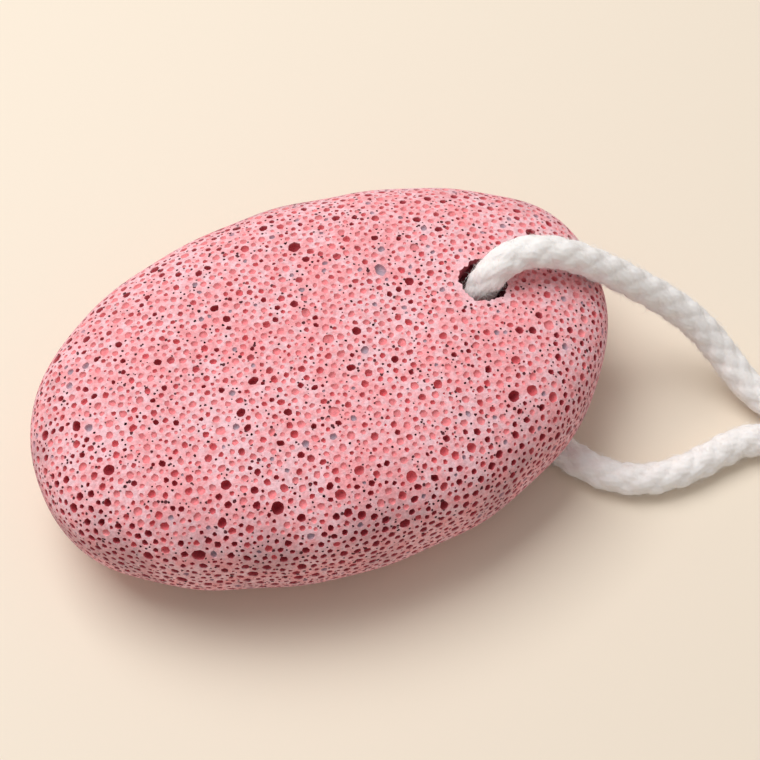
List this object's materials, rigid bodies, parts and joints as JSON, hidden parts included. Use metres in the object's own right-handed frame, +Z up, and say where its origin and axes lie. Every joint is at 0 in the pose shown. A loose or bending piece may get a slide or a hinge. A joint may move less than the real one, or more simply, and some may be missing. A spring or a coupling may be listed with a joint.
{
  "type": "pumice stone",
  "caption": "Oval pebble of pink foamed pumice with open pores all over and a rope hole near one end, carrying a knotted loop of white braided cord; for smoothing rough skin.",
  "frame": {"origin": "under the middle of the stone's bounding box, on the surface that it lies on", "axes": "+X along the stone towards its rope hole, +Y across it, +Z up through its thickness"},
  "size_m": [0.1441, 0.0839, 0.0335],
  "materials": {
    "stone": "matt foamed pumice, powdery pale pink skin with coral pores",
    "cord": "soft white braid"
  },
  "bodies": {
    "root": {"stone": "stone", "cord_upper": "cord", "cord_lower": "cord", "cord_knot": "cord"}
  },
  "joints": []
}
